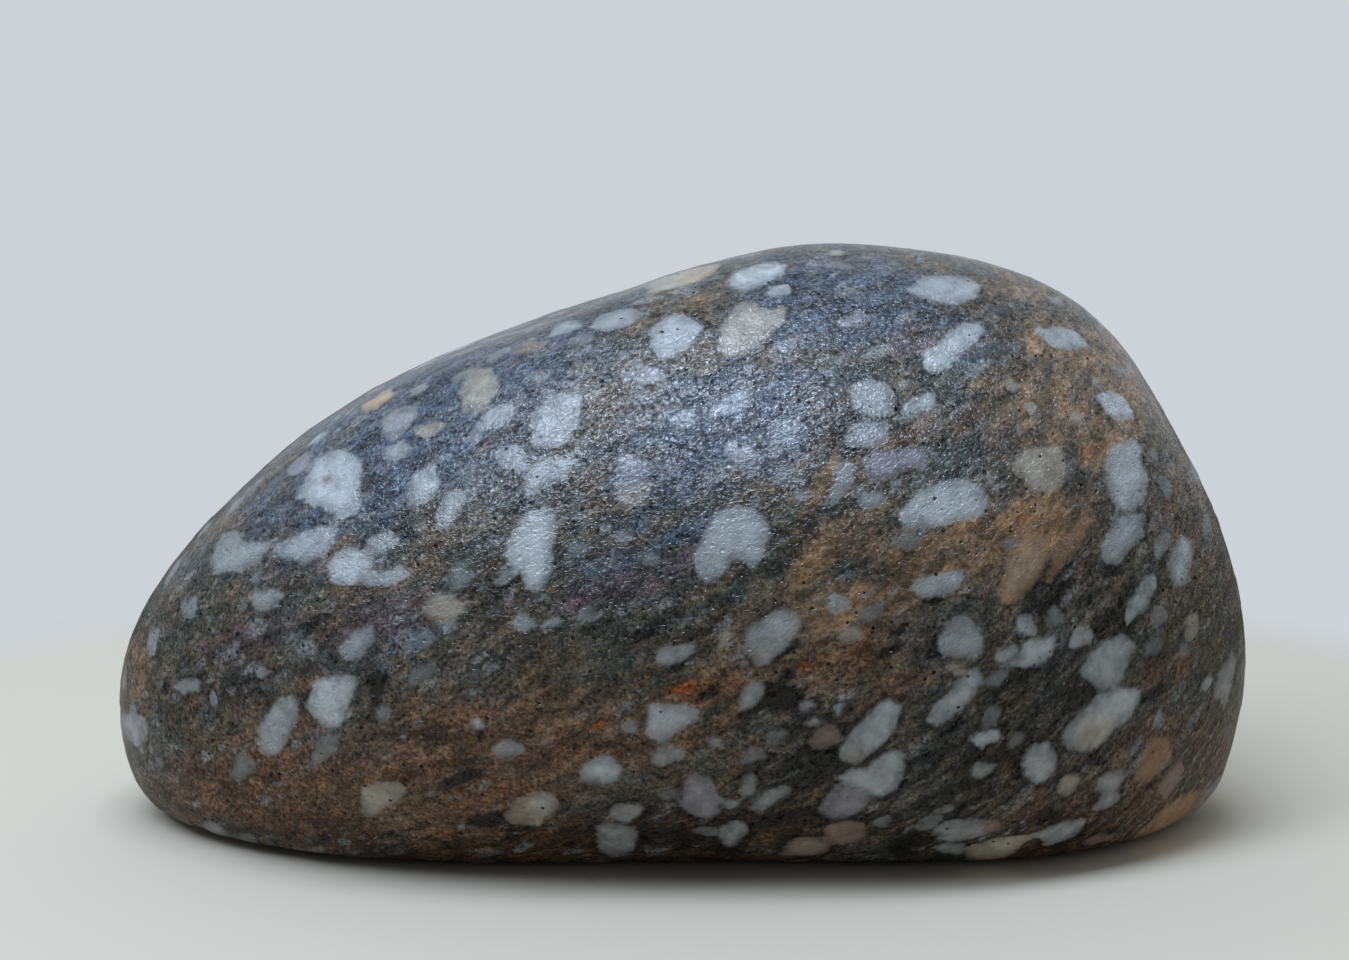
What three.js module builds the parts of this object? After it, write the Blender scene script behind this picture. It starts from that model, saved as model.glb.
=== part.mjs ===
// A viewing stone: one river-worn cobble of quartz conglomerate that rests on its own flat foot.
// Millimetres, Z up, the middle of the foot's box at the origin. The stone's long way is X, with
// its low narrow nose at -X and its high blunt shoulder at +X. Its show face looks towards -Y.

import * as THREE from 'three';
import { mergeVertices } from 'three/addons/utils/BufferGeometryUtils.js';

// ---- driving dimensions ----

const heart = new THREE.Vector3(8, 0, 42); // above the foot; every worn face is measured from it
const meridians = 112; // lines of points from the top of the stone down to its foot
const rings = 38; // rows of points from the top to the foot, closest together at the foot
const crispness = 11; // how sharply two worn faces meet: 4 is a soft egg, 30 a cut gem
const tuckHeight = 7; // the skin starts to turn in under the stone this far above the foot
const tuckDepth = 2.2; // and has come in by this much where it meets the foot
const rippleHeight = 0.14; // slow unevenness left in the polish
const rippleLength = 43; // from crest to crest
const mergeTolerance = 1e-4;

// The broad faces that the river wore on the stone, as [azimuth, elevation, distance]: degrees
// round from +X, degrees up from level, and millimetres out from the heart.
const topFaces = [
  [0, 90, 53],
  [0, 66, 63],
  [180, 70, 46],
  [-90, 66, 52],
  [90, 64, 51],
];
const shoulderFaces = [
  [0, 40, 74],
  [-50, 38, 62],
  [-86, 41, 47.5],
  [-110, 34, 49.5],
  [-146, 28, 79],
  [180, 48, 60.5],
  [150, 28, 82],
  [122, 36, 62],
  [90, 34, 53],
  [46, 40, 66],
];
const sideFaces = [
  [0, 12, 83],
  [-28, 8, 84],
  [-62, 0, 58],
  [-90, -5, 48.5],
  [-120, -6, 66],
  [-152, 0, 104],
  [180, 16, 107],
  [154, -2, 105],
  [118, 0, 68],
  [90, 0, 51.5],
  [60, 2, 62],
  [26, 8, 86],
];
const underFaces = [
  [0, -26, 102],
  [-45, -27, 75],
  [-90, -47, 51.5],
  [-138, -25, 90],
  [180, -15, 113],
  [138, -25, 92],
  [90, -46, 54.5],
  [45, -27, 77],
  [0, -90, 54],
];

// Low swells and hollows on those faces, as [azimuth, elevation, rise, spread]: millimetres up
// or down at the middle, and the degrees, seen from the heart, over which they fade.
const swells = [
  [180, 58, -2, 14], // dip half way along the slope to the nose
  [180, 27, 0.6, 9], // brow at the slope's foot
  [180, -18, 1.4, 12], // tip of the nose
  [0, 74, 1, 18], // crown
  [-4, 36, 1.6, 12], // corner of the high shoulder
  [-4, 13, -1.6, 12], // hollow flank under it
  [-70, 30, 0.7, 14], // show face
  [-105, 8, -0.6, 13],
  [-128, 22, 0.6, 12],
  [-45, -8, 0.7, 12],
  [75, 40, -1.6, 20], // broad hollow on the back
  [140, 12, 0.9, 16],
  [35, -4, 0.9, 15],
  [100, -6, 0.8, 14],
];

function directionOf(azimuth, elevation) {
  const turn = THREE.MathUtils.degToRad(azimuth);
  const climb = THREE.MathUtils.degToRad(elevation);
  const level = Math.cos(climb);
  return new THREE.Vector3(level * Math.cos(turn), level * Math.sin(turn), Math.sin(climb));
}

// ---- the stone's skin ----

const wornFaces = [...topFaces, ...shoulderFaces, ...sideFaces, ...underFaces].map(
  ([azimuth, elevation, distance]) => ({ normal: directionOf(azimuth, elevation), distance }),
);
const swellSpots = swells.map(
  ([azimuth, elevation, rise, spread]) => ({ middle: directionOf(azimuth, elevation), rise, spread }),
);

// The worn faces joined into one rounded skin: its distance from the heart along a direction.
function wornRadius(direction) {
  let sum = 0;
  for (const { normal, distance } of wornFaces) {
    const facing = direction.dot(normal) / distance;
    if (facing > 0) sum += facing ** crispness;
  }
  return sum ** (-1 / crispness);
}

function swellRise(direction) {
  let total = 0;
  for (const { middle, rise, spread } of swellSpots) {
    const away = THREE.MathUtils.radToDeg(direction.angleTo(middle));
    total += rise * Math.exp(-((away / spread) ** 2));
  }
  return total;
}

// Three slow waves that cross each other askew, so that no two stretches of skin are alike.
function rippleRise(point) {
  const pace = (2 * Math.PI) / rippleLength;
  const along = Math.sin(pace * (point.x + 0.6 * point.z));
  const across = Math.sin(pace * (1.3 * point.y - 0.5 * point.x) + 1);
  const upwards = Math.sin(pace * (1.2 * point.z + 0.4 * point.y) + 2);
  return rippleHeight * (along * across + upwards * along + across * upwards);
}

// Just above the foot the skin turns in under the stone, as a cobble's edge does.
function tuckIn(point) {
  if (point.z >= tuckHeight) return;
  const fallen = 1 - Math.max(0, point.z) / tuckHeight;
  const outward = new THREE.Vector3(point.x - heart.x, point.y - heart.y, 0).normalize();
  point.addScaledVector(outward, -tuckDepth * fallen * fallen);
}

function skinPoint(azimuth, elevation) {
  const direction = directionOf(azimuth, elevation);
  const point = direction.clone().multiplyScalar(wornRadius(direction) + swellRise(direction));
  point.addScaledVector(direction, rippleRise(point));
  point.add(heart);
  tuckIn(point);
  return point;
}

// The elevation at which a meridian reaches the foot, found by halving.
function footElevation(azimuth) {
  let above = 0;
  let below = -80;
  for (let step = 0; step < 40; step += 1) {
    const middle = (above + below) / 2;
    if (skinPoint(azimuth, middle).z > 0) above = middle;
    else below = middle;
  }
  return above;
}

// ---- its solid ----

// Rows are evenly spaced at the top and draw together towards the foot.
function rowShare(row) {
  const even = row / rings;
  return 0.6 * even + 0.4 * Math.sin((even * Math.PI) / 2);
}

// A globe whose south pole is the middle of the foot and whose last row is the foot's edge.
function stoneGeometry() {
  const globe = new THREE.SphereGeometry(1, meridians, rings + 1);
  globe.deleteAttribute('normal');
  globe.deleteAttribute('uv');
  const points = globe.getAttribute('position');
  const columns = meridians + 1;
  for (let index = 0; index < points.count; index += 1) {
    const row = Math.floor(index / columns);
    const azimuth = (360 * (index % columns)) / meridians;
    let point = new THREE.Vector3(heart.x, heart.y, 0);
    if (row <= rings) {
      const lowest = footElevation(azimuth);
      point = skinPoint(azimuth, 90 - (90 - lowest) * rowShare(row));
    }
    if (row >= rings) point.z = 0;
    points.setXYZ(index, point.x, point.y, point.z);
  }
  const closed = mergeVertices(globe, mergeTolerance);
  closed.computeBoundingBox();
  const middle = closed.boundingBox.getCenter(new THREE.Vector3());
  closed.translate(-middle.x, -middle.y, 0);
  closed.computeVertexNormals();
  return closed;
}

const quartzConglomerate = new THREE.MeshStandardMaterial({
  color: 0x5f5a55,
  roughness: 0.28,
  metalness: 0,
});

const stone = new THREE.Mesh(stoneGeometry(), quartzConglomerate);
stone.name = 'stone';

const viewingStone = new THREE.Group();
viewingStone.add(stone);

export default viewingStone;
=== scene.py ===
import functools
import math
import random

import bmesh
import bpy
import numpy as np
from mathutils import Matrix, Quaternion, Vector, noise
from mathutils.bvhtree import BVHTree


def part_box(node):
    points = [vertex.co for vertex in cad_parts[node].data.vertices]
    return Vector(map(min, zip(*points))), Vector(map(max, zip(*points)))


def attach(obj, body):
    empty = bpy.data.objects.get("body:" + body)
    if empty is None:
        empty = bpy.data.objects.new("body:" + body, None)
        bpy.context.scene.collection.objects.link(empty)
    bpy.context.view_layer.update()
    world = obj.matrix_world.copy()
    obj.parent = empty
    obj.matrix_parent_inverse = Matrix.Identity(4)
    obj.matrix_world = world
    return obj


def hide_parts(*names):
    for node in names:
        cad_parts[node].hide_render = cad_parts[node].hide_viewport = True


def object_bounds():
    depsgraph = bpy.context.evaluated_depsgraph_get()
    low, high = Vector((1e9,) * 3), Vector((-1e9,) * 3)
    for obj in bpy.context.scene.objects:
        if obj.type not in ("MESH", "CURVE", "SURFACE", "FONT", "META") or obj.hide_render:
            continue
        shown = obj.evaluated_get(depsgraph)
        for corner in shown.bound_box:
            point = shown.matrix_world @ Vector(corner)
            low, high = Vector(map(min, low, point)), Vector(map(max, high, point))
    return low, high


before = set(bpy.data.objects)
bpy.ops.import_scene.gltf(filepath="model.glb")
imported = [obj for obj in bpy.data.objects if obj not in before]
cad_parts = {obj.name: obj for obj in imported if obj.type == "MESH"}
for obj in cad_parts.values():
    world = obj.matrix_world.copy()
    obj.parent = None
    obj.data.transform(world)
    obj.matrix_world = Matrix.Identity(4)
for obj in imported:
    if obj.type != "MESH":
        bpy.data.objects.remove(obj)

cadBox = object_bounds()
millimetre = 0.001


def linearColour(hexTone):
    parts = [int(hexTone[i:i + 2], 16) / 255 for i in (1, 3, 5)]
    return tuple(c / 12.92 if c <= 0.04045 else ((c + 0.055) / 1.055) ** 2.4 for c in parts) + (1.0,)


def addNode(tree, kind, inputs, output=0, stops=(), **settings):
    made = tree.nodes.new("ShaderNode" + kind)
    for name, value in settings.items():
        setattr(made, name, value)
    for name, value in inputs.items():
        if isinstance(value, bpy.types.NodeSocket):
            tree.links.new(value, made.inputs[name])
        else:
            made.inputs[name].default_value = value
    while stops and len(made.color_ramp.elements) < len(stops):
        made.color_ramp.elements.new(0.5)
    for i, (place, tone) in enumerate(stops):
        made.color_ramp.elements[i].position = place
        made.color_ramp.elements[i].color = linearColour(tone)
    return made.outputs[output] if made.outputs else made


def emptyTree(owner):
    owner.use_nodes = True
    owner.node_tree.nodes.clear()
    return owner.node_tree


def smoothStep(values, start, end):
    t = np.clip((values - start) / (end - start), 0, 1)
    return t * t * (3 - 2 * t)


# The viewer sits level with the upper slope, a little over the stone, and looks down by a few degrees.
viewer = {
    "distance": 0.302,  # from the point looked at
    "lookDown": 8,  # degrees
    "aimHeight": 0.59,  # share of the stone's height
    "aimShift": (-0.0007, -0.0019),  # from the middle of the stone's box, in metres
    "lens": 50.7,  # mm on a 36 mm wide sensor
}


def viewerFrame():
    lo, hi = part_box("stone")
    middle = (lo + hi) / 2
    pitch = math.radians(viewer["lookDown"])
    aim = Vector((
        middle.x + viewer["aimShift"][0],
        middle.y + viewer["aimShift"][1],
        lo.z + viewer["aimHeight"] * (hi.z - lo.z),
    ))
    forward = Vector((0, math.cos(pitch), -math.sin(pitch)))
    upward = Vector((0, math.sin(pitch), math.cos(pitch)))
    return aim - forward * viewer["distance"], Vector((1, 0, 0)), upward, forward


def makeCamera():
    eye = viewerFrame()[0]
    lens = bpy.data.cameras.new("viewer")
    lens.sensor_width = 36
    lens.lens = viewer["lens"]
    lens.clip_start = 0.01
    camera = bpy.data.objects.new("viewer", lens)
    camera.location = eye
    camera.rotation_euler = (math.radians(90 - viewer["lookDown"]), 0, 0)
    bpy.context.scene.collection.objects.link(camera)
    bpy.context.scene.camera = camera


studio = {
    "wall": "#cdd2d8",  # what the camera sees round the stone
    "skyTone": "#dfe8f2",
    "room": {  # axis, where a side of the room sets in and is full, and the brightness at either
        "behind": ("Y", -0.5, 0.5, 0.14, 0.62),  # from the viewer's side to the pale wall
        "overhead": ("Z", 0.35, 0.95, 0.0, 0.22),
        "right": ("X", 0.1, 0.9, 0.0, 0.14),  # the open room
    },
    "floorBounce": 0.24,  # brightness below the horizon
    "horizon": (-0.06, 0.02),
    "windowTone": "#d0e0f8",
    "windowDistance": 0.9,
    "windowAim": 0.05,  # the height on the stone that the panes face
    "windowRoll": 62,  # its long side falls away to the left
    "panes": {  # power, size, azimuth from +X towards +Y, height, whether the matt tone takes it too
        "window": (9.2, (1.05, 0.22), -130, 66, True),
        "glint": (4.2, (0.6, 0.2), -100, 70, False),
    },
    "floorTone": "#e6dcc8",
    "bounceTone": "#d8cdbb",  # what the floor throws back on the stone
    "glossFloor": "#9a8f80",  # the dimmer tone that the stone's gloss mirrors
    "floorRadius": 0.21,
    "floorFade": 0.165,  # where it begins to fade into the wall
    "floorGap": 0.2,  # mm under the foot
}


def makeStudio():
    scene = bpy.context.scene
    scene.view_settings.view_transform = "Standard"
    world = bpy.data.worlds.new("soft_studio")
    scene.world = world
    tree = emptyTree(world)
    add = functools.partial(addNode, tree)
    direction = add("SeparateXYZ", {0: add("TexCoord", {}, "Generated")}).node.outputs
    sides = {
        name: add("MapRange", {
            "Value": direction[axis], "From Min": start, "From Max": end, "To Min": least, "To Max": most,
        }, interpolation_type="SMOOTHSTEP")
        for name, (axis, start, end, least, most) in studio["room"].items()
    }
    upper = add("Math", {0: sides["behind"], 1: sides["overhead"]}, operation="MAXIMUM")
    upper = add("Math", {0: upper, 1: sides["right"]}, operation="ADD")
    start, end = studio["horizon"]
    above = add("MapRange", {"Value": direction["Z"], "From Min": start, "From Max": end})
    light = add("Background", {"Color": linearColour(studio["skyTone"]), "Strength": upper})
    bounce = add("Background", {
        "Color": linearColour(studio["glossFloor"]), "Strength": studio["floorBounce"],
    })
    around = add("MixShader", {0: above, 1: bounce, 2: light})
    wall = add("Background", {"Color": linearColour(studio["wall"]), "Strength": 1.0})
    seen = add("MixShader", {0: add("LightPath", {}, "Is Camera Ray"), 1: around, 2: wall})
    add("OutputWorld", {"Surface": seen})

    roll = Quaternion((0, 0, 1), math.radians(studio["windowRoll"]))
    for name, (power, size, azimuth, height, lightsMatt) in studio["panes"].items():
        level = math.cos(math.radians(height))
        towards = Vector((
            math.cos(math.radians(azimuth)) * level,
            math.sin(math.radians(azimuth)) * level,
            math.sin(math.radians(height)),
        ))
        pane = bpy.data.lights.new(name, "AREA")
        pane.shape = "RECTANGLE"
        pane.size, pane.size_y = size
        pane.energy = power
        pane.color = linearColour(studio["windowTone"])[:3]
        holder = bpy.data.objects.new(name, pane)
        holder.location = Vector((0, 0, studio["windowAim"])) + towards * studio["windowDistance"]
        holder.rotation_mode = "QUATERNION"
        holder.rotation_quaternion = towards.to_track_quat("Z", "Y") @ roll
        holder.visible_camera = False
        holder.visible_diffuse = lightsMatt
        scene.collection.objects.link(holder)

    bm = bmesh.new()
    bmesh.ops.create_circle(bm, cap_ends=True, radius=studio["floorRadius"], segments=96)
    bmesh.ops.translate(bm, verts=bm.verts, vec=(0, 0, -studio["floorGap"] * millimetre))
    mesh = bpy.data.meshes.new("floor")
    bm.to_mesh(mesh)
    bm.free()
    floor = bpy.data.objects.new("floor", mesh)
    scene.collection.objects.link(floor)
    paper = bpy.data.materials.new("matt_paper")
    tree = emptyTree(paper)
    add = functools.partial(addNode, tree)
    fromMiddle = add("VectorMath", {0: add("TexCoord", {}, "Object")}, "Value", operation="LENGTH")
    fade = add("MapRange", {
        "Value": fromMiddle, "From Min": studio["floorFade"], "From Max": studio["floorRadius"],
    }, interpolation_type="SMOOTHSTEP")
    tone = linearColour(studio["bounceTone"])
    for ray, name in (("Is Camera Ray", "floorTone"), ("Is Glossy Ray", "glossFloor")):
        seen = add("LightPath", {}, ray)
        tone = add("Mix", {0: seen, 6: tone, 7: linearColour(studio[name])}, 2, data_type="RGBA")
    matt = add("BsdfDiffuse", {"Color": tone})
    add("OutputMaterial", {"Surface": add("MixShader", {0: fade, 1: matt, 2: add("BsdfTransparent", {})})})
    mesh.materials.append(paper)
    print("studio and floor made")


# Pebbles of the show face, as the viewer sees them from the front. Each outline is a ring of corners,
# across and up from the middle of the view in mm. Each place is the middle, the length and width, and
# the tilt of the length in degrees.
pebbles = {
    "snowy": {  # the whitest vein quartz
        "tone": "#c4c9c9",
        "body": 1.0,  # how far it hides the ground
        "outlines": [
            [(53.4, -29), (55.6, -26), (58.2, -25), (60.3, -25), (60, -27.4), (58.2, -29.2), (55.5, -30)],
            [(-57, 2.7), (-54.5, 4.7), (-52, 4.6), (-49.8, 2.8), (-50.2, -1), (-49.8, -3.6), (-50.5, -5.2),
             (-53, -6), (-55.5, -4.3), (-60, -2.8), (-58.3, 0.3)],
            [(-53.5, -11.2), (-51.5, -10.7), (-47.6, -12), (-47.8, -14.6), (-49.2, -15.9), (-52, -16.6),
             (-54.7, -16.2), (-54.8, -13.6)],
            [(-22.7, -5), (-20.5, -4.2), (-19.3, -5.7), (-19, -8.5), (-20, -15.5), (-21.2, -17.6),
             (-23.3, -17.2), (-24, -14.8), (-25.5, -14.2), (-27, -12.2), (-26.5, -9.9), (-24.5, -7)],
            [(8.2, 31.5), (10.2, 33.1), (13.5, 34.2), (17.6, 34), (17, 32.3), (14, 31.3), (10.8, 30.3),
             (9, 30.8)],
            [(39.7, 19.6), (41.3, 21.2), (43.7, 23.5), (46, 24.8), (48.4, 24.7), (49, 23.3), (45, 19.5),
             (42.5, 17.6), (40.5, 17), (39.6, 18.3)],
            [(36.1, -5.2), (38, -2.7), (40.3, -1.2), (43, -0.2), (46.2, 0), (48.3, -1.2), (49.7, -3.2),
             (49.4, -4.8), (46.5, -6.4), (42.4, -7.2), (38, -7.4), (36.3, -6.5)],
            [(68.1, 2.1), (69.8, 5.8), (72.6, 6.3), (74.1, 4.7), (73.8, 2.4), (75, 0.5), (74.4, -3),
             (72.6, -4.9), (70.4, -4.5), (69.1, -2)],
            [(80.6, -9.2), (82.3, -10.4), (82.2, -13.3), (80.8, -16.8), (79.1, -16.8), (78.6, -14.2),
             (79.3, -11)],
            [(-58.2, -36.2), (-57.2, -34), (-57.4, -32.6), (-56, -31.8), (-52.8, -31.2), (-50.6, -31.4),
             (-50.4, -32.8), (-52.4, -36.8), (-53.2, -39.2), (-54.8, -39.4), (-57.4, -37.6)],
        ],
        "places": [(64.7, -25.1, 4, 3.3, 30), (70.5, 11.5, 7, 5, 0), (49.2, -40.9, 4.5, 3.5, 0)],
    },
    "milky": {  # vein quartz
        "tone": "#b4b9b9",
        "body": 1.0,
        "outlines": [
            [(61.5, -41.4), (63, -38.9), (65.4, -36.2), (67.2, -34.1), (70.5, -33.2), (74, -33.4),
             (73.1, -36.2), (71.7, -38.5), (69.4, -40), (67.4, -41.9), (65.2, -43.2), (62.8, -42.8)],
            [(-4.4, -36), (-2.8, -35.6), (1.6, -35.8), (3.4, -36.4), (3.6, -37.6), (1, -39.6),
             (-1.4, -41.4), (-3.2, -41.2), (-4.2, -40.2)],
            [(70.6, -6.3), (72.7, -5.4), (74.4, -5.5), (74, -8.7), (72.2, -11), (70.4, -13.3),
             (68.5, -13.3), (67.7, -11.4), (68.6, -8.7)],
            [(-64.5, -12), (-62.7, -10.3), (-58.3, -8.2), (-55.7, -7.2), (-53.2, -7.4), (-54.2, -9.5),
             (-55.5, -11.9), (-59.3, -13), (-61.5, -12.2)],
            [(-71.2, -8.6), (-69, -8.3), (-68.3, -9.8), (-65.8, -10), (-64.4, -10.9), (-65.5, -13),
             (-68, -14.3), (-73.3, -14.8), (-73.6, -13), (-72.4, -10.6)],
            [(7.2, -4.8), (10, -4.3), (12.5, -4.7), (14.8, -6.5), (15, -9.5), (13.8, -12.4), (12.4, -14.2),
             (11.3, -12.8), (9, -13.2), (7.4, -15), (5, -16.2), (3.6, -14.5), (3.2, -11.5), (5, -8.6)],
            [(-3.9, 22.8), (-3.6, 24.4), (-1.2, 25.9), (1.3, 26.1), (4.3, 24.4), (3.4, 22.2), (1.8, 20.7),
             (-0.8, 19.3), (-2.4, 19.2), (-3.2, 21)],
            [(36.9, 30.2), (39.6, 31.9), (43.5, 32.4), (46.8, 32), (48.4, 30.6), (47.6, 28.9), (45, 28),
             (41, 28.4), (38.6, 29.2)],
            [(37.4, -17), (38.8, -15.4), (42.4, -15), (45.6, -14.3), (46, -16), (43.3, -18), (39.6, -18.9)],
            [(64.4, -30.6), (66.2, -27.8), (68.2, -25.5), (71, -24.8), (73.1, -26.3), (71.8, -28.7),
             (70.9, -31.5), (69.4, -33.1), (66.7, -32.5)],
            [(40.2, -38.5), (41.1, -36.6), (43.4, -33.9), (45.8, -31.5), (48, -30.1), (48.9, -31.9),
             (47.4, -34.4), (44.7, -36.8), (42, -39)],
            [(26.5, -44), (27.1, -41.8), (29.3, -39), (31.3, -36.7), (34, -35), (36, -36), (35.3, -38.7),
             (33.4, -41.4), (30.6, -43.8), (28.4, -45.3)],
            [(25.7, -47.2), (28.4, -46), (30.7, -46), (32.6, -44.2), (35, -43), (36.4, -43.7), (36.2, -47),
             (34.8, -49.4), (32.5, -50.2), (30, -49.2), (27.5, -48.4)],
            [(55.2, -44.6), (57.2, -42.3), (59.2, -41.8), (60.6, -44), (60.2, -46.8), (57.4, -48.2),
             (55.5, -46.9)],
            [(-14.8, -47.6), (-14.4, -45.4), (-13, -44.1), (-10.4, -44.2), (-8.3, -46), (-8.8, -47.6),
             (-11.6, -48.5)],
            [(-88.2, -38.8), (-87.6, -37.2), (-86, -36.8), (-84.4, -37.8), (-83.9, -39.6), (-84, -41.6),
             (-85, -42.5), (-86.6, -41.2)],
            [(-66, -40), (-65, -38), (-64, -36), (-62.8, -34.8), (-61.2, -34.4), (-60, -35), (-59.8, -36.8),
             (-61.6, -41.2), (-62.8, -43.2), (-64, -43.6), (-65.6, -42.8)],
        ],
        "places": [
            (56, -23, 4, 3, 20), (52.5, -27.5, 3.5, 2, 30), (26, -36.5, 2, 2, 0), (26, -19.5, 3.5, 3, 0),
            (-20, -23, 2, 1.5, 0), (-23.5, -22.5, 4, 3.5, 0), (74, -18.5, 9.5, 2.5, 60),
            (-56.5, 6.5, 3.5, 2, 35), (16.5, 30, 4, 2, 5), (61.5, 22.5, 8.5, 3, -8),
            (-45.8, -15.4, 9, 3, 14), (39, 12, 6.5, 3, 20), (84.5, -32.5, 3, 2.5, 0),
            (-31.4, -38.6, 2.4, 2.4, 0), (-28.5, 9.7, 6.5, 3, 25), (-40, -1, 6.5, 5, 60),
        ],
    },
    "pearly": {  # quartz, a little more see-through
        "tone": "#a9acab",
        "body": 0.93,
        "outlines": [
            [(-12.2, -55.2), (-10.4, -54.7), (-8, -54.8), (-6, -55.6), (-6.2, -57.6), (-6.8, -59.4),
             (-10, -59.8), (-11.8, -58.4)],
            [(27.4, 14.3), (30, 15.8), (33, 15.3), (34.8, 13.4), (34.2, 11), (31.4, 10.1), (28.6, 11.2)],
            [(-23.4, 0.8), (-22.6, 2.4), (-20, 3.3), (-16.3, 3.6), (-15.2, 3), (-16.5, 1), (-19, -0.8),
             (-21.3, -1.2), (-23.6, -2.8)],
            [(-20.5, 12.2), (-17.5, 13.6), (-15.2, 13.4), (-15.1, 10), (-15.9, 7), (-17.8, 5.2),
             (-20.5, 5.1), (-22.4, 6.2), (-22.6, 8.5), (-21.9, 10.6)],
            [(11.2, -25.2), (12, -23.6), (15.6, -20.8), (17.6, -20.4), (19.6, -21.2), (20, -23.2),
             (19.2, -25), (16, -28), (15, -29.4), (13.2, -29.2), (11.6, -27.6)],
            [(-3, -27.6), (-1.2, -26.6), (3.2, -25.9), (3, -27.4), (0.4, -28.8), (-1.2, -29.4),
             (-2.6, -29.2)],
            [(10.6, -34.8), (11.2, -33.2), (12.6, -32), (13.8, -32), (14.2, -33.2), (13.4, -35), (12, -36),
             (10.4, -36.6)],
            [(12.4, -52), (13.2, -50.8), (14.8, -49.6), (16.8, -48.8), (18.4, -48.6), (18, -49.8),
             (16, -51.2), (13.6, -52.8)],
            [(7, -56), (8.4, -54.8), (10, -54), (11.2, -54.8), (11.4, -56), (10.4, -57.2), (8.4, -58.2)],
            [(11.2, -47.2), (12.4, -46.9), (13, -48), (12.4, -49.8), (11.2, -50.6), (10.4, -50)],
            [(-10, -52.8), (-8.8, -51.8), (-6.8, -51.6), (-4.8, -52), (-6, -53.4), (-7.6, -54.2),
             (-9.6, -54)],
            [(-53.4, -26.8), (-52, -25.2), (-50, -23.6), (-48, -23.2), (-47.6, -24.8), (-50, -28.2),
             (-52, -28.2)],
            [(-79.4, -33.2), (-78.4, -32), (-76.8, -31.6), (-75.2, -31.6), (-75.6, -33.2), (-77.6, -34.2)],
        ],
        "places": [
            (61, -56.1, 8.5, 3.6, 15), (77, -38, 2.5, 2.5, 0), (48.5, -46.7, 4, 2.5, 20),
            (31.5, -3, 4, 3.5, 0), (26.5, -0.5, 5.5, 3, 70), (-65, -19, 6, 3.5, 20), (8.8, 11.7, 8, 3, 25),
            (-46.5, -10, 4.5, 3, 20), (-44, 9, 7.5, 4, 38), (-35.5, -4.5, 6.5, 4.5, 70),
            (-25.8, 3.5, 6.5, 3.2, -10), (46.1, -25.2, 7, 6.4, 0), (69, -48, 6.5, 3.5, 20),
            (-9, 25.5, 7.5, 4, 20), (-26.2, -43, 4.5, 2.5, 10), (6.5, -41.5, 2.5, 2, 30),
            (-44, 4.5, 4, 3.5, 0), (-32, 6.5, 2.5, 2, 0), (77.5, -10.5, 5.5, 2, 60),
            (-82.7, -25.4, 4, 3, 80), (-87.2, -31, 4.4, 3, 60), (-88, -33.5, 4, 2, 78),
            (1.5, 9.5, 4, 2.5, 15), (17.5, 21.5, 3, 2.5, 40), (21, -36, 2, 1.5, 0),
            (87.5, -32, 9, 2.5, 82), (-26.5, -15.5, 4, 2, 10), (20.5, -2, 2.5, 2, 15),
            (-1, -43.7, 5.5, 2.4, 12), (22, -38.5, 2.5, 1.5, 10), (-7, -39, 2.5, 2, 0),
            (68.5, -51, 4, 2.5, 20), (-73, -55.5, 5.5, 3.6, 10), (-73, -35, 2.5, 2, 0),
            (-77, -20, 5, 2, 15), (-79.5, -14.5, 4.4, 3.2, 40), (9, -51.5, 2.5, 2, 30),
            (30.6, 7.2, 7, 5, 30), (45.5, -55.6, 8.5, 3.6, 5), (43.8, -58.6, 4.5, 2.5, 5),
            (77, -22, 4, 3, 45), (-65.5, -30.5, 3, 1.8, 0), (-17.2, 24.3, 5.4, 2.2, 12),
            (-40.5, 14.2, 3, 1.8, 25),
        ],
    },
    "lilac": {  # grey quartzite
        "tone": "#9c9aa0",
        "body": 0.86,
        "outlines": [
            [(0.8, -51.6), (1.6, -48.8), (2.4, -47.2), (3.8, -46.6), (5.6, -47.6), (7.4, -50.8),
             (6.8, -52.8), (5.2, -53.6), (3.2, -52.8)],
        ],
        "places": [
            (10.7, 3.7, 6, 4, -35), (-59.5, 2.5, 5, 4, 35), (-4.5, 16.5, 9, 2, 5), (35, 2.5, 9.5, 4.2, 20),
            (-6.8, 1.7, 5.4, 4.6, 0), (-8, -9, 3, 2.5, 0), (28.5, 25.5, 4.5, 2, 20), (27, -51.2, 9, 5, 25),
            (-20.5, -41.5, 1.5, 1.5, 0), (60.5, 28.5, 3, 2, -15),
        ],
    },
    "smoky": {  # quartz half lost in the ground
        "tone": "#8e9391",
        "body": 0.78,
        "outlines": [
            [(-58, -45.6), (-56.8, -42.8), (-56.4, -41.2), (-54.8, -40.4), (-53.2, -40.8), (-53.4, -43.2),
             (-55.2, -44.4), (-56.8, -45.8)],
            [(-70.8, -47.2), (-69.6, -44.4), (-68, -43.6), (-66.4, -44.8), (-66.8, -46.4), (-68.8, -47.6)],
        ],
        "places": [
            (-46.4, -37, 3, 1.8, 70), (18, 7, 7.5, 5, 20), (37, -9.3, 5.5, 3, 15), (60.5, -22, 3, 2.5, 0),
            (31.5, -21, 5, 3, 15), (51.3, -31.6, 5.5, 2.4, 42), (76, -27, 4, 2, 45),
            (-34, -15.5, 4.5, 3.5, 80), (-66.5, -1, 4, 2, 30), (-69.5, -4, 4, 2.5, 28),
            (-66.5, -15.5, 2.5, 2, 0), (-16, -10.5, 3.5, 2.5, 20), (-14, -21.5, 3, 2.5, 0),
            (-3.5, -12.5, 3, 2, 10), (-40.5, -25.5, 4, 4, 40), (-40, -30.8, 5.5, 2, 20),
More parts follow.
